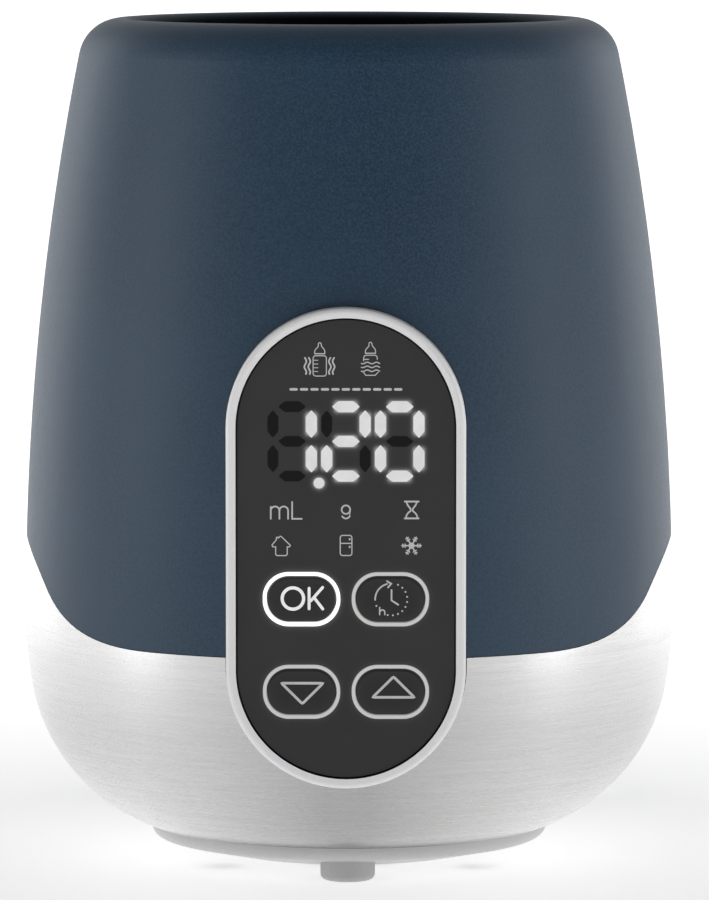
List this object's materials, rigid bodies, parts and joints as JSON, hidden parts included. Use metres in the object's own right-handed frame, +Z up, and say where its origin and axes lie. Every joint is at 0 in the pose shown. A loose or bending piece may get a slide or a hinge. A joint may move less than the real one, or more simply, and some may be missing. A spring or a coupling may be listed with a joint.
{
  "type": "electric baby bottle warmer",
  "caption": "Round electric bottle warmer: matt shell over a steel skirt, oblong front panel with digits and round-cornered keys, heated well with lift-out basket, mains cord.",
  "frame": {"origin": "centre of the plane the three feet stand on, under the axis of the round body", "axes": "+Z up along the body's axis, -Y out through the control panel, +X to the right of someone facing the panel"},
  "size_m": [0.1302, 0.1896, 0.1693],
  "materials": {
    "shell_blue": "soft matt with a fine speckle",
    "skirt_steel": "fine lines brushed round the body",
    "base_grey": "matt",
    "foot_rubber": "matt",
    "liner_dark": "satin",
    "seal_silicone": "matt",
    "plate_steel": "satin",
    "spreader_alu": "satin",
    "heater_steel": "heat-dulled",
    "screw_steel": "zinc plated",
    "contact_brass": "satin",
    "ceramic_cream": "matt",
    "carrier_black": "matt, heat resistant",
    "basket_grey": "satin",
    "bezel_grey": "satin",
    "lens_smoke": "gloss, smoked",
    "frame_black": "matt",
    "key_dark": "satin",
    "ring_diffuser": "milky",
    "switch_black": "matt",
    "board_green": "solder mask",
    "display_black": "gloss",
    "digit_clear": "milky",
    "lamp_white": "milky",
    "relay_blue": "satin",
    "transformer_yellow": "matt",
    "capacitor_blue": "sleeved",
    "terminal_green": "matt",
    "fuse_glass": "clear",
    "lead_white": "braided sleeve",
    "lead_brown": "matt",
    "ribbon_grey": "matt",
    "cord_grey": "matt",
    "plug_grey": "matt",
    "pin_metal": "nickel plated"
  },
  "bodies": {
    "housing": {"outer_shell": "shell_blue", "steel_skirt": "skirt_steel", "base_plate": "base_grey", "rubber_feet": "foot_rubber", "base_screws": "screw_steel", "well_liner": "liner_dark", "plate_gasket": "seal_silicone", "heating_plate": "plate_steel", "heat_spreader": "spreader_alu", "heating_element": "heater_steel", "heater_terminals": "contact_brass", "thermostat": "ceramic_cream", "thermal_fuse": "ceramic_cream", "temperature_probe": "contact_brass", "probe_spring": "screw_steel", "probe_bracket": "plate_steel", "heater_carrier": "carrier_black", "liner_screws": "screw_steel", "panel_bezel": "bezel_grey", "bezel_screws": "screw_steel", "panel_lens": "lens_smoke", "panel_frame": "frame_black", "key_light_rings": "ring_diffuser", "switch_bodies": "switch_black", "control_board": "board_green", "control_board_screws": "screw_steel", "display_module": "display_black", "digit_segments": "digit_clear", "indicator_leds": "lamp_white", "power_board": "board_green", "power_board_screws": "screw_steel", "relay": "relay_blue", "transformer": "transformer_yellow", "capacitors": "capacitor_blue", "terminal_block": "terminal_green", "mains_fuse": "fuse_glass", "ribbon_sockets": "frame_black", "ribbon_cable": "ribbon_grey", "mains_leads": "lead_brown", "heater_leads": "lead_white", "probe_leads": "lead_white", "strain_relief": "plug_grey", "power_cord": "cord_grey", "cord_tie": "frame_black", "plug_body": "plug_grey", "plug_pins": "pin_metal"},
    "key_ok": {"key_ok": "key_dark", "key_plunger_ok": "frame_black"},
    "key_timer": {"key_timer": "key_dark", "key_plunger_timer": "frame_black"},
    "key_down": {"key_down": "key_dark", "key_plunger_down": "frame_black"},
    "key_up": {"key_up": "key_dark", "key_plunger_up": "frame_black"},
    "basket": {"lift_basket": "basket_grey"}
  },
  "joints": [
    {"name": "key_ok_press", "type": "slide", "parent": "housing", "child": "key_ok", "axis": [0, 1, 0], "range_m": [0, 0.0006], "stiffness_N_per_m": 400, "springref_m": -0.0006},
    {"name": "key_timer_press", "type": "slide", "parent": "housing", "child": "key_timer", "axis": [0, 1, 0], "range_m": [0, 0.0006], "stiffness_N_per_m": 400, "springref_m": -0.0006},
    {"name": "key_down_press", "type": "slide", "parent": "housing", "child": "key_down", "axis": [0, 1, 0], "range_m": [0, 0.0006], "stiffness_N_per_m": 400, "springref_m": -0.0006},
    {"name": "key_up_press", "type": "slide", "parent": "housing", "child": "key_up", "axis": [0, 1, 0], "range_m": [0, 0.0006], "stiffness_N_per_m": 400, "springref_m": -0.0006},
    {"name": "basket_lift", "type": "slide", "parent": "housing", "child": "basket", "axis": [0, 0, 1], "range_m": [0, 0.125]}
  ]
}
